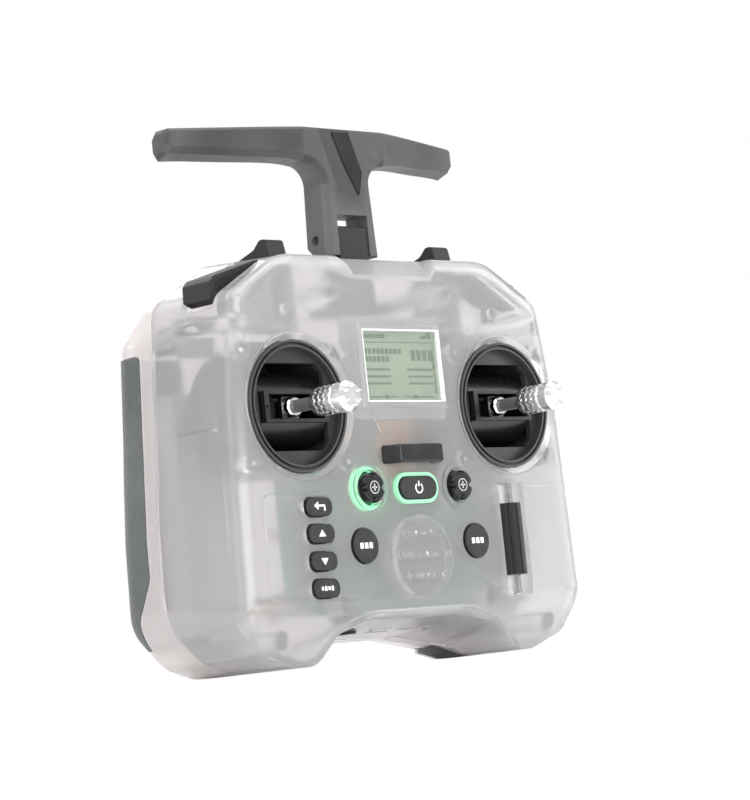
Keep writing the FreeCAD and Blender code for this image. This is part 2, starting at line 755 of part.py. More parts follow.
def make_stick_end():
    """Knurled barrel with a crown of points."""
    x, z = "-gimbal_offset", "gimbal_height"
    tip = "gimbal_axis - stick_reach"
    pieces = [
        cone("crown", "y", (x, f"{tip} + 1.2", z), 3.6, 4.7, 1.6),
        rod("crown_band", "y", (x, f"{tip} + 2.8", z), 4.7, 3.2),
        cone("crown_waist", "y", (x, f"{tip} + 6.0", z), 4.7, 3.9, 0.9),
        rod("barrel_core", "y", (x, f"{tip} + 2", z), 3.7, 13.8),
        cone("barrel_foot", "y", (x, f"{tip} + 15.4", z), 4.1, 2.9, 1.6),
    ]
    for i in range(4):
        pieces.append(rod("barrel_ring", "y", (x, f"{tip} + {7.4 + i * 2.15}", z), 4.45, 1.55))
    for i in range(6):
        point = cone("crown_point", "y", (0, 0, 0), 0.15, 1.05, 2.9)
        angle = math.radians(i * 60 + 30)
        place(point, f"{x} + {round(3.0 * math.cos(angle), 4)}", tip,
              f"{z} + {round(3.0 * math.sin(angle), 4)}", ALONG["y"])
        pieces.append(point)
    tools = [rod("end_bore", "y", (x, f"{tip} + 12", z), 2.0, 6)]
    for i in range(12):
        angle = i * 30
        groove = box("knurl", (0, 1), (0, 1), (0, 1))
        bind(groove, "Length", 1.2)
        bind(groove, "Width", 14.5)
        bind(groove, "Height", 0.75)
        turn = Rotation(Vector(0, 1, 0), angle)
        start = turn.multVec(Vector(3.95, 0, -0.375))
        place(groove, f"{x} + {round(start.x, 4)}", f"{tip} + 2.9", f"{z} + {round(start.z, 4)}", turn)
        tools.append(groove)
    return pair("stick_end", cut("stick_end_cut", fuse("end_solid", *pieces), *tools))


def make_gimbal_screws():
    screws = []
    for side in ("-", ""):
        for across, up in GIMBAL_SCREWS:
            x = f"{side}gimbal_offset + {across}"
            z = f"gimbal_height + {up}"
            screws.append(fuse("gimbal_screw", rod("screw_head", "y", (x, 5.8, z), 2.2, 1.6),
                               rod("screw_shank", "y", (x, 2.6, z), 0.9, 3.4)))
    return node("gimbal_screws", group("gimbal_screw_set", screws))


make_gimbal_housing()
make_gimbal_drum()
make_stick()
make_stick_nut()
make_stick_end()
make_gimbal_screws()


# ---------------------------------------------------------------- display and boards

def make_display():
    node("display_window", box("display_window_pane", ("-screen_half + 0.05", "screen_half - 0.05"),
                               (0.6, 1.9), ("screen_low + 0.05", "screen_high - 0.05")))
    glass = box("display_glass", (-19.5, 19.5), (2.3, 4.6), (77.6, 105.6))
    board = box("display_board", (-21.5, 21.5), (4.6, 6.0), (75.2, 107.6))
    node("display_module", fuse("display_stack", glass, board))


def board_switches():
    """Small dome switches on the main board, one behind each key."""
    spots = [("-key_column", height) for height in KEY_HEIGHTS]
    spots += [("-round_key_offset", "round_key_height"), ("round_key_offset", "round_key_height"),
              ("0", "power_height")]
    pads = []
    for x, z in spots:
        base = box("dome_base", (f"{x} - 2.6", f"{x} + 2.6"), ("board_depth - 0.7", "board_depth"),
                   (f"{z} - 2.6", f"{z} + 2.6"))
        pads.append(fuse("dome_switch", base,
                         rod("dome", "y", (x, "board_depth - 1.1", z), 1.6, 0.6)))
    return pads


def make_boards():
    corners = [(-51.5, 20, 2), (-38, 15.5, 3), (35.5, 15.5, 2), (35.5, 56.5, 2), (-51.5, 56.5, 2)]
    board = prism("main_board_plate", "front", corners, "board_depth", 1.6)
    chips = [box("processor", (-8, 8), ("board_depth + 1.6", "board_depth + 3.2"), (32, 48)),
             box("memory", (14, 24), ("board_depth + 1.6", "board_depth + 2.9"), (36, 42)),
             box("regulator", (-32, -22), ("board_depth + 1.6", "board_depth + 4.6"), (24, 34)),
             box("ribbon_socket", (-14, 14), ("board_depth + 1.6", "board_depth + 3.6"), (51, 54.5))]
    holes = []
    for across, up in [(-47, 52.5), (31.5, 52.5), (-17, 20), (17, 20)]:
        holes.append(rod("board_hole", "y", (across, 5, up), 1.3, 12))
    for across, up in SCREW_POSTS:
        holes.append(rod("post_notch", "y", (across, 5, up), 3.7, 12))
        holes.append(rod("post_notch", "y", (-across, 5, up), 3.7, 12))
    node("main_board", cut("main_board_cut", fuse("main_board_parts", board, *chips), *holes))
    node("dome_switches", group("dome_switch_set", board_switches()))
    radio = [box("radio_board_plate", (-17.5, 17.5), (20.4, 22.0), (50, 94)),
             box("radio_shield", (-12, 12), (17.8, 20.4), (62, 86)),
             box("module_plug", (-9, 9), (22.0, 25.6), (54, 58))]
    node("radio_board", fuse("radio_board_parts", *radio))


def make_speaker():
    basket = rod("speaker_basket", "y", (0, 4.4, 31.2), 13.0, 1.4)
    magnet = rod("speaker_magnet", "y", (0, 5.6, 31.2), 7.0, 2.6)
    rim = cut("speaker_rim", rod("rim_outer", "y", (0, 2.9, 31.2), 13.0, 1.6),
              rod("rim_inner", "y", (0, 2.5, 31.2), 11.6, 3))
    return node("speaker", fuse("speaker_parts", basket, magnet, rim))


make_display()
make_boards()
make_speaker()


# ---------------------------------------------------------------- keys on the face

def key_body(name, across, height, long, tall, corner, proud):
    """A rounded key cap made as a body: cap, retaining flange and stem."""
    body = DOC.addObject("PartDesign::Body", unique(name))
    plane = next(f for f in body.Origin.OriginFeatures if f.Role == "XZ_Plane")

    def pad(label, half_long, half_tall, round_by, depth, length):
        sketch = body.newObject("Sketcher::SketchObject", unique(name + label))
        sketch.AttachmentSupport = [(plane, "")]
        sketch.MapMode = "FlatFace"
        bind(sketch, "AttachmentOffset.Base.z", f"-({depth})")
        sketch.addGeometry(corner_arcs([
            (f"-({half_long})", f"-({half_tall})", round_by), (half_long, f"-({half_tall})", round_by),
            (half_long, half_tall, round_by), (f"-({half_long})", half_tall, round_by)]), False)
        feature = body.newObject("PartDesign::Pad", unique(name + label + "Pad"))
        feature.Profile = sketch
        bind(feature, "Length", length)
        feature.Reversed = True
        return feature
    pad("Cap", f"{long} / 2", f"{tall} / 2", corner, f"-({proud})", f"{proud} + 2.6")
    pad("Flange", f"{long} / 2 + 0.6", f"{tall} / 2 + 0.6", corner, 2.5, 0.9)
    last = pad("Stem", 1.3, 1.3, 0.6, 2.8, "board_depth - 2.1 - 2.8")
    DOC.recompute()
    top = min(edge.BoundBox.YMin for edge in last.Shape.Edges)
    names = [f"Edge{i}" for i, edge in enumerate(last.Shape.Edges, start=1)
             if edge.BoundBox.YMax - top < 1e-4]
    fillet = body.newObject("PartDesign::Fillet", unique(name + "Round"))
    fillet.Base = (last, names)
    fillet.Radius = 0.45
    body.Tip = fillet
    place(body, across, 0, height)
    return node(name, body)


def make_keys():
    for name, height in zip(KEY_NAMES, KEY_HEIGHTS):
        key_body(name, "-key_column", height, "key_length", "key_tall", 2.4, "key_proud")
    for name, side in (("system_key", "-"), ("model_key", "")):
        key_body(name, f"{side}round_key_offset", "round_key_height", "2 * round_key_radius",
                 "2 * round_key_radius", 5.45, "key_proud")
    key_body("power_button", 0, "power_height", "power_length", "power_tall", 3.5, 2.0)
    outer = slab("light_ring_outer", 0, "power_height", "power_length / 2 + 1.3", "power_tall / 2 + 1.3",
                 (-1.1, 2.2), 4.8)
    inner = slab("light_ring_inner", 0, "power_height", "power_length / 2 + 0.2", "power_tall / 2 + 0.2",
                 (-2, 3), 3.7)
    node("power_light_ring", cut("light_ring_cut", outer, inner))


def make_trims():
    """Four-way trim pads: a cap on a small pivot ring."""
    x, z = "-trim_offset", "trim_height"
    cap = rod("trim_cap", "y", (x, -2.2, z), "trim_radius", 4.0)
    cap = rounded("trim_cap_round", cap, 0.7, lies_at("y", depth_of(-2.2)))
    stem = rod("trim_stem", "y", (x, 1.5, z), 1.7, 6.0)
    cross_bar = rod("trim_axle", "x", (f"{x} - 3.4", 6.4, z), 0.6, 6.8)
    notches = []
    for angle in range(0, 360, 90):
        spoke = Rotation(Vector(0, 1, 0), angle).multVec(Vector(4.3, 0, 0))
        notches.append(cone("trim_notch", "y",
                            (f"{x} + {round(spoke.x, 4)}", -2.3, f"{z} + {round(spoke.z, 4)}"),
                            1.5, 0.5, 1.8))
    pair("trim_pad", cut("trim_pad_cut", fuse("trim_parts", cap, stem, cross_bar), *notches))
    ring = cut("trim_ring_cut",
               fuse("trim_ring_solid", rod("trim_ring_outer", "y", (x, 5.6, z), 4.9, 1.6),
                    rod("trim_ring_stub", "z", (x, 6.4, f"{z} - 6.4"), 0.6, 12.8)),
               rod("trim_ring_inner", "y", (x, 5, z), 2.9, 3),
               rod("trim_ring_bore", "x", (f"{x} - 3.9", 6.4, z), 0.66, 7.8))
    return pair("trim_ring", ring)


def make_roller():
    x, z = "roller_offset", "roller_height"
    half = "roller_length / 2"
    rubber = rod("roller_rubber", "z", (x, "roller_axis", f"{z} - {half}"), "roller_radius",
                 "roller_length")
    grooves = []
    for i in range(10):
        turn = Rotation(Vector(0, 0, 1), i * 36 + 18)
        spot = turn.multVec(Vector(number("roller_radius") + 0.15, 0, 0))
        groove = rod("roller_groove", "z", (0, 0, 0), 0.62, "roller_length + 2")
        grooves.append(place(groove, f"{x} + {round(spot.x, 4)}",
                             f"roller_axis + {round(spot.y, 4)}", f"{z} - {half} - 1"))
    bore = rod("roller_core_bore", "z", (x, "roller_axis", f"{z} - 20"), 3.2, 40)
    node("roller_sleeve", cut("roller_sleeve_cut", rubber, bore, *grooves))
    core = [rod("roller_spindle", "z", (x, "roller_axis", f"{z} - 17.6"), 3.2, 35.2),
            rod("roller_pin", "z", (x, "roller_axis", f"{z} - 19.6"), 1.5, 39.2)]
    node("roller_core", fuse("roller_core_parts", *core))
    ears = []
    for low, high in ((18.2, 19.8), (-19.8, -18.2)):
        ears.append(box("roller_ear", (f"{x} - 4.4", f"{x} + 4.4"), (2.6, 12),
                        (f"{z} + {low}", f"{z} + {high}")))
    plate = box("roller_back", (f"{x} - 4.4", f"{x} + 4.4"), (10.4, 12), (f"{z} - 19.8", f"{z} + 19.8"))
    stem = rod("roller_stem", "y", (x, 11.5, z), 1.8, 3.0)
    node("roller_carrier", cut("roller_carrier_cut", fuse("carrier_parts", plate, stem, *ears),
                               rod("carrier_bore", "z", (x, "roller_axis", f"{z} - 22"), 1.56, 44)))
    guide = box("roller_guide_plate", (f"{x} - 6.6", f"{x} + 6.6"), (16.4, 18.0),
                (f"{z} - 20", f"{z} + 22.5"))
    button = box("roller_switch", (f"{x} - 3", f"{x} + 3"), (15.3, 16.4), (f"{z} - 3", f"{z} + 3"))
    node("roller_board", fuse("roller_board_parts", guide, button))


def make_hook():
    outer = [(-13.2, 0, 0), (-9.4, -5.0, 0.8), (9.4, -5.0, 0.8), (13.2, 0, 0)]
    inner = [(-8.6, 0.5, 0), (-7.0, -3.3, 1.2), (7.0, -3.3, 1.2), (8.6, 0.5, 0)]
    loop = cut("hook_loop", prism("hook_outer", "plan", outer, 60.6, 5.8),
               prism("hook_inner", "plan", inner, 59, 9))
    pegs = [box("hook_peg", (side * 11 - 0.8, side * 11 + 0.8), (-0.3, 3.6), (61.9, 65.1))
            for side in (-1, 1)]
    body = fuse("hook_parts", bevelled("hook_bevel", loop, 0.6, lies_at("y", depth_of(-5.0))), *pegs)
    return node("neck_strap_hook", body)


make_keys()
make_trims()
make_roller()
make_hook()


# ---------------------------------------------------------------- switches along the top

def make_levers():
    """Three-position levers that tip front and back."""
    corners = [
        (11.2, 121.5, 0.8),
        (13.7, 133.2, 1.6),
        (16.6, 133.0, 1.8),
        (19.4, 130.4, 4.0),
        (28.8, 127.5, 0.8),
        (28.4, 125.9, 0.6),
        (23.5, 122.0, 1.5),
        (20.6, 115.4, 1.5),
        (17.4, 115.4, 1.5),
        (15.0, 121.5, 1.5),
    ]
    x = "-lever_offset - lever_width / 2"
    blade = prism("lever_blade", "side", corners, x, "lever_width")
    axle_end = rod("lever_axle", "x", (f"{x} - 2", "lever_pivot_depth", "lever_pivot_height"), 1.5,
                   "lever_width + 4")
    pair("lever_switch", fuse("lever_parts", blade, axle_end))
    frame = []
    for start in (f"{x} - 2.1", f"{x} + lever_width + 0.6"):
        frame.append(box("lever_cheek", (start, f"{start} + 1.5"), (13.5, 24.5), (106, 121.4)))
    frame.append(box("lever_floor", (f"{x} - 2.1", f"{x} + lever_width + 2.1"), (13.5, 24.5),
                     (104.5, 106.5)))
    bore = rod("lever_bore", "x", (f"{x} - 3", "lever_pivot_depth", "lever_pivot_height"), 1.56,
               "lever_width + 6")
    bracket = cut("lever_bracket_cut", fuse("lever_frame", *frame), bore)
    rest = box("momentary_switch_body", (-62, -51), (29.6, 35.6), (98.6, 110.6))
    cheek = cut("dial_cheek", box("dial_plate", (60.8, 62.8), (31.8, 40.2), (99.5, 108.2)),
                rod("dial_bore", "x", (60, "dial_depth", "dial_height"), 1.56, 4))
    node("switch_brackets", group("switch_bracket_set", [
        bracket, mirrored("bracket_twin", bracket), rest, cheek]))


def make_shoulder_switch():
    """Two-position rocker on the sloping shoulder, hinged at its inner end."""
    corners = [
        (-69.5, 113.4, 0.6),
        (-69.2, 118.6, 1.5),
        (-67.2, 120.4, 1.4),
        (-47.8, 126.0, 0.8),
        (-47.0, 121.0, 1.5),
        (-51.0, 118.6, 1.0),
        (-66.0, 112.0, 1.0),
    ]
    block = prism("rocker_block", "front", corners, 10.5, 12.2)
    lip = [(-67.2, 115.4, 0.8), (-67.0, 118.7, 0.8), (-49.2, 124.2, 0.6), (-48.8, 122.2, 0.6)]
    recess = prism("rocker_recess", "front", lip, 10.0, 0.9)
    stem = box("rocker_stem", (-60, -57), (14.6, 17.6), (108.2, 117))
    axle = rod("rocker_axle", "y", (-48.4, 10.25, 121.4), 1.0, 12.7)
    pair("shoulder_switch", fuse("rocker_parts", cut("rocker_cut", block, recess), stem, axle))


def make_rear_controls():
    """Spring button at the left and a turning dial at the right of the rear top corners."""
    cap = rod("momentary_cap", "y", (-57, 38.0, 104.5), 3.6, 13.8)
    cap = rounded("momentary_round", cap, 0.8, lies_at("y", depth_of(51.8)))
    flange = rod("momentary_flange", "y", (-57, 36.8, 104.5), 4.4, 1.4)
    node("momentary_button", fuse("momentary_parts", cap, flange))
    dial = rod("dial_disc", "x", (54.5, "dial_depth", "dial_height"), 7.4, 5.0)
    grips = []
    for i in range(18):
        spot = Rotation(Vector(1, 0, 0), i * 20).multVec(Vector(0, 7.55, 0))
        grips.append(rod("dial_notch", "x", (54, f"dial_depth + {round(spot.y, 4)}",
                                             f"dial_height + {round(spot.z, 4)}"), 0.5, 6))
    pin = rod("dial_pin", "x", (51.5, "dial_depth", "dial_height"), 1.5, 11)
    node("dial_wheel", fuse("dial_parts", cut("dial_cut", dial, *grips), pin))


make_levers()
make_shoulder_switch()
make_rear_controls()


# ---------------------------------------------------------------- folding antenna

def arm_sketch(name, across, trim):
    """Section of an arm: flat front, bevelled edges, swept back and slimmer towards the tip."""
    share = max(0.0, (abs(across) - number("root_half")) / (number("antenna_half") - number("root_half")))
    front = number("antenna_front") + 13.4 * share ** 1.1 + trim
    back = number("antenna_front + antenna_thick") + 11.6 * share ** 1.1 - trim
    top = number("antenna_top") - 0.7 * share - trim
    crease = number("antenna_top") - 9.0 + 2.6 * math.sqrt(share) + trim
    low = crease - 2.05
    under = low - 0.3 - 1.4 * share
    corners = [(front + 1.9, low, 0), (back - 1.2, under, 0), (back, under + 1.4, 0),
               (back, top - 1.6, 0), (back - 1.4, top, 0), (front + 0.9, top, 0),
               (front, top - 0.9, 0), (front, crease, 0)]
    sketch = outline(name, "side", corners)
    bind(sketch, "Placement.Base.x", across)
    return sketch


def stem_sketch(name, depth, edge):
    """Outline of the fork and its root, drawn in by an edge bevel."""
    sketch = outline(name, "front", both_sides([
        ("root_half", "antenna_top - 4", "0"),
        ("root_half", f"antenna_top - 11.05 + {edge}", "0"),
        (f"stem_half - {edge}", f"antenna_top - 11.05 + {edge}", f"6.9 + {edge}"),
        (f"stem_foot - {edge}", "hinge_height - 5.3", "0"),
    ]))
    bind(sketch, "Placement.Base.y", depth_of(depth))
    return sketch


def make_antenna():
    root, half = number("root_half"), number("antenna_half")
    shoulder = half - 1.5
    stations = [root, root + 6, root + 16, root + 30, shoulder]
    pieces = [loft("arm_root", [arm_sketch("root_section", side * root, 0) for side in (-1, 1)], True)]
    for side in (-1, 1):
        sections = [arm_sketch("arm_section", side * station, 0) for station in stations]
        pieces.append(loft("antenna_arm", sections, False))
        pieces.append(loft("arm_end", [arm_sketch("arm_end_section", side * shoulder, 0),
                                       arm_sketch("arm_end_section", side * half, 1.3)], True))
    front, bevel, back = "antenna_front", "antenna_front + 1.9", "antenna_front + antenna_thick"
    pieces.append(loft("stem_front", [stem_sketch("stem_front_outline", front, 1.85),
                                      stem_sketch("stem_bevel_outline", bevel, 0)], True))
    pieces.append(loft("stem_rear", [stem_sketch("stem_mid_outline", bevel, 0),
                                     stem_sketch("stem_back_outline", back, 0)], True))
    heel = [(20.0, "hinge_height - 9", 0), (27, "hinge_height - 9", 0),
            (27, "hinge_height + 1", 0), (25.2, "hinge_height - 2.0", 3.0),
            (22.0, "hinge_height - 5.35", 1.0)]
    panel = [(-12, "antenna_top + 1", 0), (-5, "antenna_top - 20.3", 1.0),
             (4.6, "antenna_top - 21.5", 1.0), (6.6, "antenna_top - 13.9", 0),
             (1.4, "antenna_top + 1", 0)]
    tools = [
        box("fork_slot", (-6.8, 6.8), (10, 40), ("hinge_height - 12", "hinge_height + 7.8")),
        rod("fork_bore", "x", ("-stem_foot - 1", "hinge_depth", "hinge_height"), 1.56,
            "2 * stem_foot + 2"),
        prism("fork_heel", "side", heel, "-stem_foot - 1", "2 * stem_foot + 2"),
        prism("stem_panel", "front", panel, "antenna_front - 1", 1.4),
        inlay_blade("inlay_pocket"),
    ]
    return node("antenna", cut("antenna_cut", fuse("antenna_solid", *pieces), *tools))


def inlay_blade(name):
    """Glossy strip let into the front of the stem."""
    blade = [(-5.2, "antenna_top - 1.2", 0), (2.0, "antenna_top - 1.2", 0),
             (6.4, "antenna_top - 13.9", 0), (4.5, "antenna_top - 21.3", 0),
             (-1.0, "antenna_top - 11.5", 0)]
    return prism(name, "front", blade, "antenna_front + 0.05", 1.6)


def make_antenna_inlay():
    return node("antenna_inlay", inlay_blade("antenna_inlay_blade"))


def make_antenna_base():
    x_low, x_high = -6.3, 6.3
    post = box("hinge_post", (x_low, x_high), (15.9, 25.1), (112, "hinge_height"))
    knuckle = [(15.9, "hinge_height - 2", 0), (25.1, "hinge_height - 2", 0),
               (25.1, "hinge_height + 4.3", 2.5), (15.9, "hinge_height + 4.3", 1.0)]
    block = fuse("hinge_block", post, prism("hinge_knuckle", "side", knuckle, x_low, 12.6),
                 box("hinge_foot", (-11, 11), (14.0, 29.0), (110.5, 113.0)))
    bore = rod("hinge_bore", "x", (-9, "hinge_depth", "hinge_height"), 1.5, 18)
    node("antenna_hinge_block", cut("hinge_block_cut", block, bore))
    node("antenna_hinge_pin", rod("hinge_pin", "x", (-9.4, "hinge_depth", "hinge_height"), 1.5, 18.8))


make_antenna()
make_antenna_inlay()
make_antenna_base()


# ---------------------------------------------------------------- power, sockets and fixings

def make_batteries():
    x = "-cell_offset"
    cell = rod("cell_tube", "z", (x, "cell_depth", "cell_bottom"), "cell_radius", "cell_length - 1")
    cell = rounded("cell_round", cell, 0.8, lies_at("z", "cell_bottom"))
    cap = rod("cell_cap", "z", (x, "cell_depth", "cell_bottom + cell_length - 1.2"), 3.0, 1.2)
    pair("battery_cell", fuse("cell_parts", cell, cap))
    top = "cell_bottom + cell_length"
    block = box("tray_block", (f"{x} - 10.6", f"{x} + 10.6"), (28.2, "cell_depth + 0.5"),
                ("cell_bottom - 6.2", f"{top} + 2.4"))
    space = rod("tray_space", "z", (x, "cell_depth", "cell_bottom - 5"), "cell_radius + 0.3",
                f"{top} + 0.6 - cell_bottom + 5")
    tray = common("tray_inside", cut("tray_cut", block, space), case_space)
    node("battery_trays", group("tray_set", [tray, mirrored("tray_twin", tray)]))
    contacts = []
    for side in ("-", ""):
        across = f"{side}cell_offset"
        for i in range(5):
            ring = DOC.addObject("Part::Torus", unique("spring_turn"))
            bind(ring, "Radius1", 3.9 - 0.35 * i)
            bind(ring, "Radius2", 0.42)
            contacts.append(place(ring, across, "cell_depth", f"cell_bottom - 4.5 + {i * 0.84}"))
        contacts.append(box("contact_leaf", (f"{across} - 4", f"{across} + 4"),
                            ("cell_depth - 4", "cell_depth + 4"), (f"{top} + 0.05", f"{top} + 0.55")))
    node("battery_contacts", group("contact_set", contacts))


def make_sockets():
    data = cut("data_port_cut", box("data_port_can", (-4.5, 4.5), (20.4, 23.6), (9.9, 17.4)),
               box("data_port_space", (-4.15, 4.15), (20.75, 23.25), (9, 16.6)))
    tongue = box("data_port_tongue", (-3.3, 3.3), (21.7, 22.3), (11, 17.0))
    node("data_port", fuse("data_port_parts", data, tongue))
    charge = cut("charge_port_cut", box("charge_port_can", (-4.5, 4.5), (31.2, "trough_depth - 0.2"),
                                        (13.65, 16.85)),
                 box("charge_port_space", (-4.15, 4.15), (32, "trough_depth + 1"), (14.0, 16.5)))
    tab = box("charge_port_tongue", (-3.3, 3.3), (31.6, "trough_depth - 1.2"), (14.95, 15.55))
    node("charge_port", fuse("charge_port_parts", charge, tab))
    barrel = fuse("jack_parts", rod("jack_nose", "z", (-14.5, 22, 9.6), 3.1, 3.2),
                  box("jack_body", (-18, -11), (18.6, 25.4), (12.6, 25.7)))
    node("trainer_jack", cut("jack_cut", barrel, rod("jack_bore", "z", (-14.5, 22, 8), 1.8, 15)))
    card = cut("card_cut", box("card_frame", (9.4, 21.1), (20.9, 23.1), (12.4, 26.3)),
               box("card_space", (9.9, 20.6), (21.4, 22.6), (11, 24.8)))
    node("card_slot", card)


def make_case_screws():
    screws = []
    for side in ("-", ""):
        for across, up in SCREW_POSTS:
            head = rod("case_screw_head", "y", (f"{side}{across}", 35.85, up), 2.4, 1.7)
            socket = rod("case_screw_socket", "y", (f"{side}{across}", 36.8, up), 1.1, 2)
            shank = rod("case_screw_shank", "y", (f"{side}{across}", 24, up), 1.1, 12.0)
            screws.append(cut("case_screw", fuse("case_screw_solid", head, shank), socket))
    return node("case_screws", group("case_screw_set", screws))


make_batteries()
make_sockets()
make_case_screws()


# ---------------------------------------------------------------- checks and files

DOC.recompute()
for item in DOC.Objects:
    if "Invalid" in item.State or "Error" in item.State:
        raise RuntimeError(f"{item.Name} failed: {item.State}")
os.makedirs("parts", exist_ok=True)
for item in NODES:
    shape = item.Shape
    if shape.isNull() or not shape.isValid() or shape.Volume <= 0:
        raise RuntimeError(f"{item.Label} has no good shape")
    shape.exportStep(f"parts/{item.Label}.step")
    bounds = shape.BoundBox
    print(f"{item.Label:22s} solids {len(shape.Solids)} volume {shape.Volume:9.1f}"
          f"  x {bounds.XMin:7.2f} {bounds.XMax:7.2f}  y {bounds.YMin:7.2f} {bounds.YMax:7.2f}"
          f"  z {bounds.ZMin:7.2f} {bounds.ZMax:7.2f}")
print(len(NODES), "pieces")
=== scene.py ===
import math

import bmesh
import bpy
from mathutils import Matrix, Vector


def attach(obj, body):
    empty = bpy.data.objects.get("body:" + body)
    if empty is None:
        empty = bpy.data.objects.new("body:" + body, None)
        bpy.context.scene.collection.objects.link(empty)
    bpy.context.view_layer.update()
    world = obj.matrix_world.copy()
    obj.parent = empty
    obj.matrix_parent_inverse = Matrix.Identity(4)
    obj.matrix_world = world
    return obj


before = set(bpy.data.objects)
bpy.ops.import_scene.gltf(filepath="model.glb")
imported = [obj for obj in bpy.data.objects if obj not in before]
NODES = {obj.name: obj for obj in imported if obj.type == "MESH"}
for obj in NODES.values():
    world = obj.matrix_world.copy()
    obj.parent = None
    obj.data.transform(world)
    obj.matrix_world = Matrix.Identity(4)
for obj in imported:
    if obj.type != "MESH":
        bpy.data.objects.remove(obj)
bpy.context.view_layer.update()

MM = 0.001

# Places in millimetres, as the CAD has them: across from the middle, depth behind the face, height.
FACE_Y = -15.3
STICK_HEIGHT = 79.1
DISPLAY_HALF = 17.4
DISPLAY_MIDDLE = 91.6
DISPLAY_RISE = 11.5
KEY_COLUMN = -43.5
KEY_HEIGHTS = {"return": 48.3, "page_up": 39.8, "page_down": 31.4, "telemetry": 23.1}
ROUND_KEY = (25.1, 35.5)
POWER_HEIGHT = 52.7
TRIM = (19.9, 53.3)
TROUGH_DEPTH = 40.5


def spot(across, depth, height):
    """A point in metres from millimetres across, behind the face and up."""
    return Vector((across, FACE_Y + depth, height)) * MM


# ---------------------------------------------------------------- shader helpers

class Shade:
    """A node tree with short calls for the nodes that the materials share."""

    def __init__(self, name):
        self.material = bpy.data.materials.new(name)
        self.material.use_nodes = True
        self.tree = self.material.node_tree
        self.main = self.tree.nodes["Principled BSDF"]
        self.output = self.tree.nodes["Material Output"]
        self.place = self.tree.nodes.new("ShaderNodeTexCoord").outputs["Object"]

    def new(self, kind, **inputs):
        node = self.tree.nodes.new("ShaderNode" + kind)
        for key, value in inputs.items():
            self.feed(node.inputs[key.replace("_", " ")], value)
        return node

    def feed(self, socket, value):
        if isinstance(value, bpy.types.NodeSocket):
            self.tree.links.new(value, socket)
        else:
            socket.default_value = value

    def set(self, **inputs):
        for key, value in inputs.items():
            self.feed(self.main.inputs[key.replace("_", " ")], value)
        return self

    def noise(self, scale, detail=4.0, roughness=0.55, place=None):
        node = self.new("TexNoise", Scale=scale, Detail=detail, Roughness=roughness)
        self.tree.links.new(place or self.place, node.inputs["Vector"])
        return node.outputs["Fac"]

    def cells(self, scale):
        node = self.new("TexVoronoi", Scale=scale)
        self.tree.links.new(self.place, node.inputs["Vector"])
        return node.outputs["Distance"]

    def stretched(self, x, y, z):
        node = self.new("Mapping", Scale=(x, y, z))
        self.tree.links.new(self.place, node.inputs["Vector"])
        return node.outputs["Vector"]

    def remap(self, value, low, high, to_low, to_high):
        node = self.new("MapRange")
        for index, item in enumerate((value, low, high, to_low, to_high)):
            self.feed(node.inputs[index], item)
        return node.outputs["Result"]

    def colours(self, value, *stops):
        node = self.tree.nodes.new("ShaderNodeValToRGB")
        ramp = node.color_ramp
        while len(ramp.elements) < len(stops):
            ramp.elements.new(0.5)
        for element, (position, colour) in zip(ramp.elements, stops):
            element.position = position
            element.color = (*colour, 1.0)
        self.feed(node.inputs["Fac"], value)
        return node.outputs["Color"]

    def maths(self, operation, first, second=0.0, third=0.0):
        node = self.tree.nodes.new("ShaderNodeMath")
        node.operation = operation
        for index, item in enumerate((first, second, third)):
            self.feed(node.inputs[index], item)
        return node.outputs[0]

    def blend(self, factor, first, second):
        node = self.tree.nodes.new("ShaderNodeMix")
        node.data_type = "RGBA"
        self.feed(node.inputs[0], factor)
        self.feed(node.inputs[6], first)
        self.feed(node.inputs[7], second)
        return node.outputs[2]

    def axis(self, name, source=None):
        node = self.tree.nodes.new("ShaderNodeSeparateXYZ")
        self.tree.links.new(source or self.place, node.inputs[0])
        return node.outputs[name]

    def facing(self, name):
        """The x, y or z part of the surface's own direction."""
        geometry = self.tree.nodes.new("ShaderNodeNewGeometry")
        return self.axis(name, geometry.outputs["Normal"])

    def edges(self, low=0.52, high=0.62):
        """Painted highlight: brighter on each convex edge line, as if lit."""
        geometry = self.tree.nodes.new("ShaderNodeNewGeometry")
        return self.remap(geometry.outputs["Pointiness"], low, high, 0.0, 1.0)

    def bump(self, height, strength, distance):
        node = self.new("Bump", Height=height, Strength=strength, Distance=distance)
        self.tree.links.new(node.outputs["Normal"], self.main.inputs["Normal"])
        return node.outputs["Normal"]

    def mixed(self, factor, first, second):
        """The material shows a mix of two shaders."""
        node = self.tree.nodes.new("ShaderNodeMixShader")
        self.feed(node.inputs[0], factor)
        self.tree.links.new(first.outputs[0], node.inputs[1])
        self.tree.links.new(second.outputs[0], node.inputs[2])
        self.tree.links.new(node.outputs[0], self.output.inputs["Surface"])


def grey(value):
    return (value, value, value)


# ---------------------------------------------------------------- materials

def frosted_shell(name, tint, clearness, cloudy):
    """Frosted see-through moulding: cloudy body, soft blurred view of what is inside."""
    s = Shade(name)
    cloud = s.noise(28, 3)
    colour = s.colours(cloud, (0.3, tuple(c * 0.96 for c in tint)), (0.7, tint))
    fine = s.noise(2600, 2)
    s.set(Base_Color=colour, Roughness=s.remap(cloud, 0.3, 0.7, 0.13, 0.18), IOR=1.36,
          Transmission_Weight=clearness, Specular_IOR_Level=0.5)
    normal = s.bump(fine, 0.06, 0.00012)
    through = s.new("BsdfTranslucent", Color=(*tint, 1.0))
    s.tree.links.new(normal, through.inputs["Normal"])
    s.mixed(cloudy, s.main, through)
    return s.material


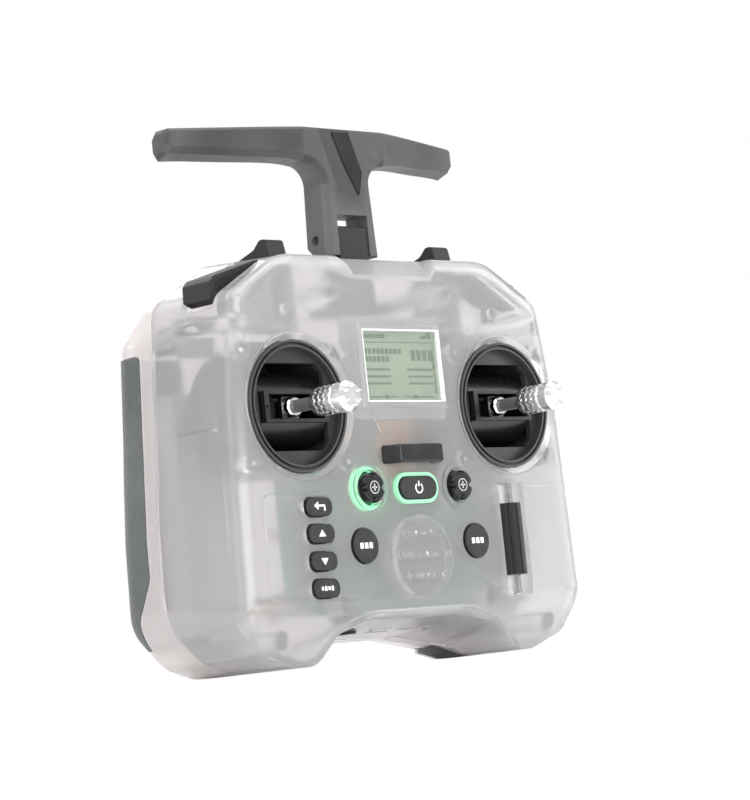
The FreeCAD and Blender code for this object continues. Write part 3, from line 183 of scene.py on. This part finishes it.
def moulded(name, dark, light, roughness, grain=1500, depth=0.00006):
    """Satin moulded plastic with a fine spark-eroded grain, and a painted highlight that pales each
    convex edge.
    """
    s = Shade(name)
    patch = s.noise(60, 4)
    body = s.colours(patch, (0.35, dark), (0.65, light))
    # Painted highlight: every convex edge is painted paler, up to nearly twice the light tone.
    edge_highlighted_body = s.blend(s.edges(), body, (*[min(1.0, c * 1.9) for c in light], 1.0))
    spread = s.remap(patch, 0.3, 0.7, roughness - 0.06, roughness + 0.07)
    s.set(Base_Color=edge_highlighted_body, Roughness=spread, Specular_IOR_Level=0.32)
    s.bump(s.noise(grain, 3), 0.35, depth)
    return s.material


def glossy(name, tint, roughness=0.16):
    """Polished dark plastic with faint swirls and dust."""
    s = Shade(name)
    smear = s.noise(90, 5, 0.65)
    dust = s.remap(s.cells(900), 0.0, 0.09, 1.0, 0.0)
    base = s.blend(s.maths("MULTIPLY", dust, 0.10), (*tint, 1.0), (0.35, 0.35, 0.36, 1.0))
    s.set(Base_Color=base, Roughness=s.remap(smear, 0.35, 0.7, roughness, roughness + 0.14),
          Specular_IOR_Level=0.5)
    s.bump(s.noise(420, 2), 0.12, 0.00005)
    return s.material


def rubber(name, dark, light, stipple=1300, depth=0.0002):
    """Soft-touch rubber with a leathery stipple."""
    s = Shade(name)
    patch = s.noise(45, 4)
    body = s.colours(patch, (0.35, dark), (0.68, light))
    pits = s.cells(stipple)
    s.set(Base_Color=body, Roughness=s.remap(patch, 0.3, 0.7, 0.62, 0.78), Specular_IOR_Level=0.35,
          Sheen_Weight=0.15, Sheen_Roughness=0.6)
    s.bump(s.remap(pits, 0.1, 0.7, 0.0, 1.0), 0.6, depth)
    return s.material


def metal(name, tint, roughness, brushed=(400, 6000, 400), depth=0.00003):
    """Machined metal with fine turning marks and a little tarnish."""
    s = Shade(name)
    marks = s.noise(1.0, 3, 0.6, s.stretched(*brushed))
    stain = s.noise(160, 4)
    colour = s.colours(stain, (0.3, tuple(c * 0.86 for c in tint)), (0.65, tint))
    s.set(Base_Color=colour, Metallic=1.0,
          Roughness=s.remap(marks, 0.3, 0.7, roughness * 0.7, roughness * 1.35))
    s.bump(marks, 0.4, depth)
    return s.material


def key_top(name):
    """Silicone key with painted light: the top, facing the front, painted dark grey as if lit, and the
    sides painted black as if in shade.
    """
    s = Shade(name)
    # Painted light: faces turned to the front get the lighter grey, all other faces black.
    front = s.remap(s.maths("MULTIPLY", s.facing("Y"), -1.0), 0.35, 0.8, 0.0, 1.0)
    top = s.colours(s.noise(300, 4), (0.35, grey(0.024)), (0.7, grey(0.036)))
    s.set(Base_Color=s.blend(front, (0.008, 0.008, 0.009, 1.0), top),
          Roughness=s.remap(s.noise(700, 2), 0.3, 0.7, 0.5, 0.66), Specular_IOR_Level=0.28)
    s.bump(s.noise(2600, 2), 0.3, 0.00005)
    return s.material


def circuit_board(name, mask=(0.012, 0.10, 0.055)):
    """Green solder mask over copper tracks and vias."""
    s = Shade(name)
    tracks = s.new("TexBrick", Vector=s.place, Scale=260, Mortar_Size=0.10, Mortar_Smooth=0.2)
    lines = tracks.outputs["Fac"]
    vias = s.remap(s.cells(330), 0.05, 0.09, 1.0, 0.0)
    lighter = tuple(min(1.0, c * 2.2) for c in mask)
    base = s.blend(lines, (*mask, 1.0), (*lighter, 1.0))
    base = s.blend(vias, base, (0.75, 0.62, 0.30, 1.0))
    s.set(Base_Color=base, Roughness=s.remap(s.noise(200, 3), 0.3, 0.7, 0.3, 0.45))
    s.bump(lines, 0.5, 0.00005)
    return s.material


def clear_part(name, tint, roughness=0.08):
    """Clear moulded plastic with faint flow lines."""
    s = Shade(name)
    flow = s.noise(1.0, 2, 0.5, s.stretched(120, 120, 700))
    s.set(Base_Color=s.colours(flow, (0.3, tuple(c * 0.96 for c in tint)), (0.7, tint)),
          Roughness=s.remap(flow, 0.3, 0.7, roughness, roughness + 0.12), IOR=1.47,
          Transmission_Weight=0.9)
    s.bump(flow, 0.15, 0.00005)
    return s.material


def cell_wrap(name):
    """Shrink-wrapped battery cell with a slight crinkle."""
    s = Shade(name)
    wrap = s.colours(s.noise(90, 3), (0.3, (0.55, 0.14, 0.03)), (0.7, (0.78, 0.25, 0.06)))
    s.set(Base_Color=wrap, Roughness=0.28, Coat_Weight=0.4)
    s.bump(s.noise(1.0, 3, 0.6, s.stretched(500, 500, 60)), 0.3, 0.0001)
    return s.material


def glow(name, colour, strength):
    """A lit light guide."""
    s = Shade(name)
    ripple = s.noise(700, 2)
    s.set(Base_Color=(*colour, 1.0), Roughness=s.remap(ripple, 0.3, 0.7, 0.25, 0.4),
          Emission_Color=(*colour, 1.0), Emission_Strength=strength)
    s.bump(ripple, 0.1, 0.00003)
    return s.material


def display_glass(name):
    """Pale green panel with a faint dot grid inside the window, its grey frame around it."""
    s = Shade(name)
    dots_per_metre = 3800.0
    across = s.maths("MULTIPLY", s.axis("X"), dots_per_metre)
    up = s.maths("MULTIPLY", s.axis("Z"), dots_per_metre)
    lines = s.maths("MAXIMUM", s.maths("PINGPONG", across, 0.5), s.maths("PINGPONG", up, 0.5))
    grid = s.remap(lines, 0.44, 0.5, 0.0, 1.0)
    body = s.colours(s.noise(40, 2), (0.3, (0.31, 0.40, 0.28)), (0.7, (0.36, 0.45, 0.32)))
    body = s.blend(s.maths("MULTIPLY", grid, 0.25), body, (0.20, 0.28, 0.19, 1.0))
    wide = s.maths("LESS_THAN", s.maths("ABSOLUTE", s.axis("X")), DISPLAY_HALF * MM)
    tall = s.maths("COMPARE", s.axis("Z"), DISPLAY_MIDDLE * MM, DISPLAY_RISE * MM)
    seen = s.maths("MULTIPLY", wide, tall)
    s.set(Base_Color=s.blend(seen, (0.42, 0.42, 0.43, 1.0), body), Roughness=0.32,
          Emission_Color=(0.45, 0.62, 0.42, 1.0), Emission_Strength=s.maths("MULTIPLY", seen, 0.10))
    s.bump(s.noise(900, 2), 0.05, 0.00002)
    return s.material


MATERIALS = {
    "shell": frosted_shell("frosted_shell", (0.95, 0.94, 0.938), 0.83, 0.14),
    "shell_back": frosted_shell("frosted_shell_back", (0.97, 0.93, 0.925), 0.66, 0.18),
    "antenna": moulded("antenna_plastic", grey(0.041), grey(0.054), 0.50),
    "dark": moulded("dark_plastic", grey(0.007), grey(0.011), 0.50),
    "inner_dark": moulded("inner_plastic", grey(0.10), grey(0.16), 0.5),
    "bezel": moulded("bezel_plastic", grey(0.030), grey(0.044), 0.34),
    "gloss": glossy("black_gloss", (0.006, 0.006, 0.007)),
    "drum": glossy("drum_gloss", (0.007, 0.007, 0.008), 0.24),
    "grip": rubber("grip_rubber", (0.055, 0.062, 0.060), (0.085, 0.094, 0.090)),
    "pad": rubber("speckled_pad", grey(0.02), grey(0.09), 700, 0.0006),
    "roller": rubber("roller_rubber", grey(0.004), grey(0.007), 1800, 0.00005),
    "key": key_top("key_silicone"),
    "bright": metal("bright_aluminium", grey(0.93), 0.2),
    "shaft": metal("threaded_steel", grey(0.16), 0.38),
    "chrome": metal("polished_nut", grey(0.92), 0.1),
    "steel": metal("plated_steel", grey(0.62), 0.3),
    "brass": metal("contact_brass", (0.85, 0.56, 0.28), 0.25),
    "board": circuit_board("board_green"),
    "board_dark": circuit_board("board_dark", (0.02, 0.03, 0.028)),
    "clear": clear_part("clear_plastic", (0.97, 0.97, 0.97)),
    "pane": clear_part("display_pane", (0.93, 0.97, 0.92), 0.02),
    "cell": cell_wrap("cell_wrap"),
    "lit": glow("lit_guide", (0.30, 0.70, 0.42), 0.32),
    "halo": glow("lit_halo", (0.20, 0.85, 0.40), 1.3),
    "display": display_glass("display_glass"),
    "ink": moulded("dark_print", grey(0.012), grey(0.02), 0.5, 3000, 0.00001),
    "print": moulded("pale_print", grey(0.62), grey(0.72), 0.5, 3000, 0.00001),
    "mid_print": moulded("grey_print", grey(0.22), grey(0.28), 0.5, 3000, 0.00001),
    "white_trim": moulded("white_trim", grey(0.56), grey(0.64), 0.35),
    "liquid": moulded("display_segments", (0.035, 0.06, 0.035), (0.05, 0.08, 0.05), 0.4, 3000,
                      0.00001),
    "flex": glossy("flex_cable", (0.45, 0.20, 0.04), 0.3),
    "wire_red": glossy("wire_red", (0.62, 0.03, 0.03), 0.35),
    "wire_black": glossy("wire_black", (0.012, 0.012, 0.013), 0.35),
    "wire_white": glossy("wire_white", (0.78, 0.77, 0.74), 0.35),
    "wire_pink": glossy("wire_pink", (0.80, 0.30, 0.36), 0.35),
    "wire_yellow": glossy("wire_yellow", (0.80, 0.55, 0.05), 0.35),
    "nylon": moulded("connector_nylon", (0.66, 0.64, 0.58), (0.74, 0.72, 0.66), 0.45),
    "label": moulded("blank_label", (0.60, 0.60, 0.61), (0.68, 0.68, 0.69), 0.55),
}

NODE_MATERIALS = {
    "front_shell": "shell",
    "rear_shell": "shell_back",
    "left_grip_cover": "grip",
    "right_grip_cover": "grip",
    "lobe_pads": "pad",
    "module_bay_cover": "dark",
    "left_gimbal_housing": "bezel",
    "right_gimbal_housing": "bezel",
    "left_gimbal_drum": "drum",
    "right_gimbal_drum": "drum",
    "left_stick": "shaft",
    "right_stick": "shaft",
    "left_stick_nut": "chrome",
    "right_stick_nut": "chrome",
    "left_stick_end": "bright",
    "right_stick_end": "bright",
    "gimbal_screws": "steel",
    "display_window": "pane",
    "display_module": "display",
    "main_board": "board",
    "dome_switches": "steel",
    "radio_board": "board_dark",
    "speaker": "inner_dark",
    "return_key": "key",
    "page_up_key": "key",
    "page_down_key": "key",
    "telemetry_key": "key",
    "system_key": "key",
    "model_key": "key",
    "power_button": "key",
    "power_light_ring": "lit",
    "left_trim_pad": "gloss",
    "right_trim_pad": "gloss",
    "left_trim_ring": "inner_dark",
    "right_trim_ring": "inner_dark",
    "roller_sleeve": "roller",
    "roller_core": "clear",
    "roller_carrier": "inner_dark",
    "roller_board": "board",
    "neck_strap_hook": "gloss",
    "left_lever_switch": "dark",
    "right_lever_switch": "dark",
    "switch_brackets": "inner_dark",
    "left_shoulder_switch": "dark",
    "right_shoulder_switch": "dark",
    "momentary_button": "dark",
    "dial_wheel": "dark",
    "antenna": "antenna",
    "antenna_inlay": "gloss",
    "antenna_hinge_block": "dark",
    "antenna_hinge_pin": "steel",
    "left_battery_cell": "cell",
    "right_battery_cell": "cell",
    "battery_trays": "inner_dark",
    "battery_contacts": "brass",
    "data_port": "steel",
    "charge_port": "steel",
    "trainer_jack": "dark",
    "card_slot": "steel",
    "case_screws": "steel",
}


def dress_nodes():
    """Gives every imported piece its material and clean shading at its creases."""
    for name, node in NODES.items():
        node.data.materials.clear()
        node.data.materials.append(MATERIALS[NODE_MATERIALS[name]])
        node.data.shade_smooth()
        node.data.set_sharp_from_angle(angle=math.radians(28))


dress_nodes()


# ---------------------------------------------------------------- fine details

def add_piece(name, form, material, body):
    """A finished detail that moves with a body."""
    bmesh.ops.recalc_face_normals(form, faces=form.faces)
    mesh = bpy.data.meshes.new(name)
    form.to_mesh(mesh)
    form.free()
    item = bpy.data.objects.new(name, mesh)
    bpy.context.scene.collection.objects.link(item)
    mesh.materials.append(MATERIALS[material])
    mesh.shade_smooth()
    mesh.set_sharp_from_angle(angle=math.radians(30))
    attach(item, body)
    return item


def plate(form, points, near, far):
    """A flat prism facing the front, from its outline of (across, height)."""
    rows = [[form.verts.new(spot(x, depth, z)) for x, z in points] for depth in (near, far)]
    form.faces.new(rows[0])
    form.faces.new(list(reversed(rows[1])))
    for i in range(len(points)):
        j = (i + 1) % len(points)
        form.faces.new((rows[0][i], rows[1][i], rows[1][j], rows[0][j]))


def bar(form, x, z, wide, tall, near, far):
    plate(form, [(x - wide / 2, z - tall / 2), (x + wide / 2, z - tall / 2),
                 (x + wide / 2, z + tall / 2), (x - wide / 2, z + tall / 2)], near, far)


def arc_band(form, x, z, inner, outer, start, end, near, far, steps=40):
    """Part of a flat ring between two angles in degrees."""
    step = (end - start) / steps
    for i in range(steps):
        angles = [math.radians(start + k * step) for k in (i, i + 1)]
        corners = [(x + r * math.cos(a), z + r * math.sin(a))
                   for r, a in ((inner, angles[0]), (outer, angles[0]), (outer, angles[1]),
                                (inner, angles[1]))]
        plate(form, corners, near, far)
    bmesh.ops.remove_doubles(form, verts=form.verts, dist=1e-7)


def tube(form, path, radius, sides=10, steps=10):
    """A round cable through points of (across, depth, height)."""
    points = [spot(*place) for place in path]
    points = [points[0] * 2 - points[1]] + points + [points[-1] * 2 - points[-2]]
    line = []
    for i in range(1, len(points) - 2):
        a, b, c, d = points[i - 1:i + 3]
        for k in range(steps):
            t = k / steps
            line.append(0.5 * (2 * b + (c - a) * t + (2 * a - 5 * b + 4 * c - d) * t * t
                               + (3 * b - a - 3 * c + d) * t ** 3))
    line.append(points[-2])
    rings = []
    for i, here in enumerate(line):
        ahead = (line[min(i + 1, len(line) - 1)] - line[max(i - 1, 0)]).normalized()
        side = ahead.cross(Vector((0.31, 0.17, 0.93))).normalized()
        up = side.cross(ahead)
        rings.append([form.verts.new(here + (side * math.cos(w) + up * math.sin(w)) * radius * MM)
                      for w in (2 * math.pi * k / sides for k in range(sides))])
    for first, second in zip(rings, rings[1:]):
        for k in range(sides):
            form.faces.new((first[k], first[(k + 1) % sides], second[(k + 1) % sides], second[k]))
    form.faces.new(rings[0])
    form.faces.new(rings[-1])


def make_display_marks():
    """Generic segments and bars shown on the panel, and the pale frame around it."""
    form = bmesh.new()
    near, far = 2.08, 2.26
    for i in range(7):
        bar(form, -14.6 + i * 1.5, 101.2, 1.0, 1.3, near, far)
    for i in range(4):
        bar(form, 11.5 + i * 1.2, 100.8 + i * 0.2, 0.7, 0.7 + i * 0.45, near, far)
    bar(form, 0, 99.2, 33.0, 0.25, near, far)
    for row, count in ((96.4, 9), (93.9, 6)):
        for i in range(count):
            bar(form, -14.2 + i * 1.9, row, 1.3, 1.7, near, far)
    for i in range(4):
        bar(form, 7.0 + i * 2.6, 95.1, 1.7, 3.4, near, far)
    for row in (90.6, 88.4, 86.2):
        bar(form, -9.5, row, 11.0, 0.7, near, far)
        bar(form, 9.5, row, 11.0, 0.7, near, far)
    for side in (-1, 1):
        for x, z, wide, tall in ((15.9, 90, 0.3, 14), (8, 82.0, 13, 0.3)):
            bar(form, side * x, z, wide, tall, near, far)
        bar(form, side * 15.9, 91.5, 1.1, 1.1, near, far)
        bar(form, side * 6.5, 82.0, 1.1, 1.1, near, far)
    add_piece("display_marks", form, "liquid", "case")
    form = bmesh.new()
    half, rise, edge = DISPLAY_HALF - 0.02, DISPLAY_RISE - 0.02, 0.44
    for way in (-1, 1):
        bar(form, 0, DISPLAY_MIDDLE + way * (rise - edge / 2), 2 * half, edge, -0.72, 0.58)
        bar(form, way * (half - edge / 2), DISPLAY_MIDDLE, edge, 2 * (rise - edge) - 0.02, -0.72, 0.58)
    add_piece("display_trim", form, "white_trim", "case")


def make_key_marks():
    """Small printed signs on the keys."""
    near, far = -1.34, -1.26
    x, z = KEY_COLUMN, KEY_HEIGHTS["return"]
    form = bmesh.new()
    plate(form, [(x - 2.4, z), (x - 0.6, z + 1.3), (x - 0.6, z - 1.3)], near, far)
    bar(form, x + 0.8, z, 2.8, 0.6, near, far)
    bar(form, x + 2.0, z - 0.8, 0.6, 1.6, near, far)
    add_piece("return_mark", form, "print", "return_key_body")
    for key, way in (("page_up", 1), ("page_down", -1)):
        z = KEY_HEIGHTS[key]
        form = bmesh.new()
        plate(form, [(x - 1.5, z - 0.9 * way), (x + 1.5, z - 0.9 * way), (x, z + 1.2 * way)],
              near, far)
        add_piece(key + "_key_mark", form, "print", key + "_key_body")
    form = bmesh.new()
    for i in range(4):
        bar(form, x - 2.1 + i * 1.4, KEY_HEIGHTS["telemetry"], 0.9, 1.1 + 0.35 * (i % 2), near, far)
    add_piece("telemetry_mark", form, "print", "telemetry_key_body")
    for key, side in (("system", -1), ("model", 1)):
        form = bmesh.new()
        for i in range(3):
            bar(form, side * ROUND_KEY[0] - 2.0 + i * 2.0, ROUND_KEY[1], 1.4, 1.8, near, far)
        add_piece(key + "_key_mark", form, "print", key + "_key_body")
    near, far = -2.04, -1.96
    form = bmesh.new()
    arc_band(form, 0, POWER_HEIGHT, 1.25, 1.75, 125, 415, near, far)
    bar(form, 0, POWER_HEIGHT + 1.4, 0.5, 1.7, near, far)
    add_piece("power_mark", form, "print", "power_button_body")


def make_trim_marks():
    """Grey crosses on the trim pads and the lit ring behind the shell at the left one."""
    near, far = -2.25, -2.17
    across, z = TRIM
    for x, name in ((-across, "left"), (across, "right")):
        form = bmesh.new()
        arc_band(form, x, z, 1.7, 2.05, 0, 360, near, far)
        bar(form, x, z, 2.2, 0.5, near, far)
        bar(form, x, z, 0.5, 2.2, near, far)
        add_piece(name + "_trim_mark", form, "mid_print", name + "_trim_pad")
    form = bmesh.new()
    arc_band(form, -across, z, 5.9, 6.8, 0, 360, 2.15, 2.9, 64)
    add_piece("trim_glow", form, "halo", "case")


def make_wiring():
    """Cables, plugs and the display's flexible strip inside the case."""
    for side, name in ((-1, "left"), (1, "right")):
        for i, colour in enumerate(("wire_red", "wire_white", "wire_yellow", "wire_black")):
            form = bmesh.new()
            x = side * (38.0 - i * 1.5)
            tube(form, [(x, 25.5 - i * 0.4, 59.5), (x - side * 2, 22.0, 55.0),
                        (x - side * 8, 16.5, 53.2), (side * (21.5 - i * 1.3), 13.2, 52.6)], 0.55)
            add_piece(f"{name}_gimbal_wire_{i}", form, colour, "case")
        form = bmesh.new()
        bar(form, side * 19.6, 52.6, 7.2, 3.2, 10.7, 13.6)
        add_piece(name + "_plug", form, "nylon", "case")
        for i, colour in enumerate(("wire_red", "wire_black")):
            form = bmesh.new()
            tube(form, [(side * 50.5, 31, 17.0 + i * 2), (side * 43, 27, 20 + i * 2),
                        (side * 30, 20, 24 + i), (side * 22, 14.0, 27 + i * 1.6)], 0.75)
            add_piece(f"{name}_battery_wire_{i}", form, colour, "case")
    form = bmesh.new()
    tube(form, [(3.0, 19.0, 90), (5.0, 18.4, 97), (3.5, 20.5, 104), (1.0, 21.0, 110.6)], 0.9)
    add_piece("antenna_cable", form, "wire_black", "case")
    for i, colour in enumerate(("wire_pink", "wire_white")):
        form = bmesh.new()
        tube(form, [(-6 - i * 2, 14.2, 30 + i), (-14, 15.2, 24), (-24, 17, 22 + i * 2),
                    (-34, 20, 33 + i * 2), (-43, 25, 44 + i)], 0.6)
        add_piece(f"speaker_wire_{i}", form, colour, "case")
    form = bmesh.new()
    for i in range(6):
        z = 56.8 + i * 3.0
        depth = 8.6 - 1.9 * (i / 5) + 1.4 * math.sin(math.pi * i / 5)
        bar(form, 0, z + 1.5, 15.0, 3.06, depth - 0.12, depth + 0.12)
    add_piece("display_flex", form, "flex", "case")


def make_back_label():
    """Blank rating label and the plain lines printed on it."""
    form = bmesh.new()
    bar(form, 0, 30.0, 34.0, 12.0, TROUGH_DEPTH, TROUGH_DEPTH + 0.08)
    add_piece("rating_label", form, "label", "case")
    form = bmesh.new()
    for row, wide in ((33.4, 24), (31.0, 28), (28.6, 20), (26.4, 26)):
        bar(form, -15 + wide / 2, row, wide, 0.7, TROUGH_DEPTH + 0.06, TROUGH_DEPTH + 0.12)
    add_piece("rating_lines", form, "ink", "case")


make_display_marks()
make_key_marks()
make_trim_marks()
make_wiring()
make_back_label()


# ---------------------------------------------------------------- studio

def aim(item, target):
    item.rotation_euler = (Vector(target) - item.location).to_track_quat("-Z", "Y").to_euler()


def softbox(name, place, target, size, power):
    data = bpy.data.lights.new(name, "AREA")
    data.shape = "RECTANGLE"
    data.size, data.size_y = size
    data.energy = power
    lamp = bpy.data.objects.new(name, data)
    bpy.context.scene.collection.objects.link(lamp)
    lamp.location = place
    aim(lamp, target)


def make_floor():
    """Pale, faintly bright floor with a see-through underside, which never hides the object."""
    mesh = bpy.data.meshes.new("floor")
    form = bmesh.new()
    bmesh.ops.create_circle(form, cap_ends=True, radius=3.0, segments=96)
    form.to_mesh(mesh)
    form.free()
    floor = bpy.data.objects.new("floor", mesh)
    bpy.context.scene.collection.objects.link(floor)
    s = Shade("pale_floor")
    s.set(Base_Color=s.colours(s.noise(6, 3), (0.3, grey(0.86)), (0.7, grey(0.89))), Roughness=0.7,
          Emission_Color=(1.0, 1.0, 1.0, 1.0), Emission_Strength=0.14)
    side = s.tree.nodes.new("ShaderNodeNewGeometry").outputs["Backfacing"]
    s.mixed(side, s.main, s.tree.nodes.new("ShaderNodeBsdfTransparent"))
    mesh.materials.append(s.material)
    floor.location.z = -0.0002


def make_world():
    """White surroundings: pure white behind the object, a little softer as light."""
    world = bpy.data.worlds.new("studio")
    bpy.context.scene.world = world
    world.use_nodes = True
    tree = world.node_tree
    sky = tree.nodes["Background"]
    seen = tree.nodes.new("ShaderNodeBackground")
    seen.inputs["Color"].default_value = (1.0, 1.0, 1.0, 1.0)
    seen.inputs["Strength"].default_value = 1.0
    sky.inputs["Color"].default_value = (0.98, 0.99, 1.0, 1.0)
    sky.inputs["Strength"].default_value = 0.72
    mix = tree.nodes.new("ShaderNodeMixShader")
    ray = tree.nodes.new("ShaderNodeLightPath")
    tree.links.new(ray.outputs["Is Camera Ray"], mix.inputs[0])
    tree.links.new(sky.outputs[0], mix.inputs[1])
    tree.links.new(seen.outputs[0], mix.inputs[2])
    tree.links.new(mix.outputs[0], tree.nodes["World Output"].inputs["Surface"])


def make_camera():
    """Seen from the left and slightly below, with the object leaning back a little."""
    turn, lean, roll = math.radians(45.41), math.radians(7.83), math.radians(0.16)
    away, shift_side, shift_up = 1.021, 0.00978, 0.00163
    sin_t, cos_t = math.sin(turn), math.cos(turn)

    def upright(x, y, z):
        """From the camera's level frame into the object's own."""
        return Vector((x, y * math.cos(lean) - z * math.sin(lean),
                       y * math.sin(lean) + z * math.cos(lean)))

    place = upright(-shift_side * cos_t - away * sin_t, shift_side * sin_t - away * cos_t, shift_up)
    right, ahead, up = upright(cos_t, -sin_t, 0), upright(sin_t, cos_t, 0), upright(0, 0, 1)
    rolled_right = right * math.cos(roll) - up * math.sin(roll)
    rolled_up = right * math.sin(roll) + up * math.cos(roll)
    camera = bpy.data.objects.new("camera", bpy.data.cameras.new("camera"))
    bpy.context.scene.collection.objects.link(camera)
    turn_to = Matrix((rolled_right, rolled_up, -ahead)).transposed()
    camera.matrix_world = turn_to.to_4x4()
    camera.location = place + spot(0, 0, STICK_HEIGHT)
    camera.data.lens = 146.34
    camera.data.sensor_width = 36.0
    bpy.context.scene.camera = camera


def make_studio():
    make_floor()
    make_world()
    make_camera()
    centre = (0.0, 0.0, 0.08)
    softbox("key", (-0.5, -0.9, 0.9), centre, (0.8, 0.8), 6.5)
    softbox("top", (0.1, 0.15, 1.1), centre, (1.0, 0.8), 7.5)
    softbox("back_fill", (0.1, 0.9, 0.5), centre, (0.9, 0.7), 4.5)
    softbox("front_low", (-0.5, -0.9, 0.12), centre, (0.9, 0.2), 3.0)
    softbox("right_strip", (0.9, -0.5, 0.35), centre, (0.25, 0.9), 3.5)
    softbox("left_strip", (-1.0, 0.1, 0.3), centre, (0.25, 0.9), 2.5)
    bpy.context.scene.view_settings.view_transform = "Standard"
    bpy.context.scene.view_settings.look = "None"


make_studio()
